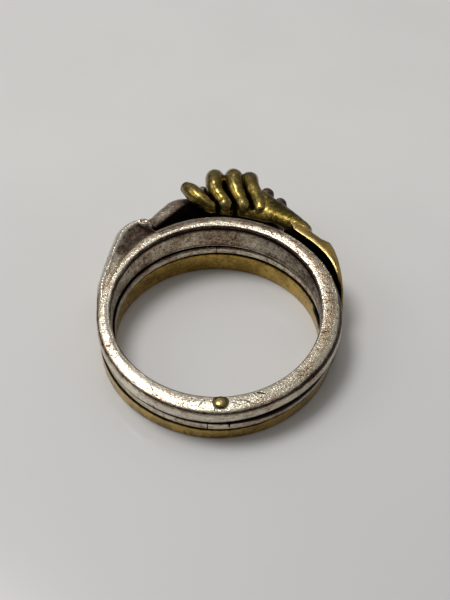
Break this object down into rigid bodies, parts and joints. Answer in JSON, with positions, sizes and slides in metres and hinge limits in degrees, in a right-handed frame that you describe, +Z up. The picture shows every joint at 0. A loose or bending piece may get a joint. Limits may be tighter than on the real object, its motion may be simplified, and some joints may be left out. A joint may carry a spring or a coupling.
{
  "type": "gimmel finger ring",
  "caption": "Finger ring of three flat hoops that turn on one rivet and close in two clasped hands, lying on its side.",
  "frame": {"origin": "on the surface the ring lies on, under the middle of its outline seen from above", "axes": "+Z up, away from the surface; +Y from the rivet to the clasped hands; +X to the right, towards the brass cuff. The finger hole's axis leans 2.7 degrees from +Z towards -Y."},
  "size_m": [0.0212, 0.0273, 0.006],
  "materials": {
    "brass": "antique brass, worn bright on the knuckles and olive brown in the hollows",
    "silver": "old silver alloy, satin and scratched, with purple brown tarnish in the hollows",
    "rivet_brass": "hammered brass wire end, polished by wear"
  },
  "bodies": {
    "brass": {"brass_hoop": "brass", "rivet": "rivet_brass"},
    "middle": {"middle_hoop": "silver"},
    "silver": {"silver_hoop": "silver"}
  },
  "joints": [
    {"name": "middle_pivot", "type": "hinge", "parent": "brass", "child": "middle", "pos_m": [-0.00036, -0.01263, 0.00155], "axis": [0, -0.0471, 0.9989], "range_deg": [0, 60]},
    {"name": "silver_pivot", "type": "hinge", "parent": "middle", "child": "silver", "pos_m": [-0.00036, -0.01263, 0.00155], "axis": [0, -0.0471, 0.9989], "range_deg": [0, 60]}
  ]
}
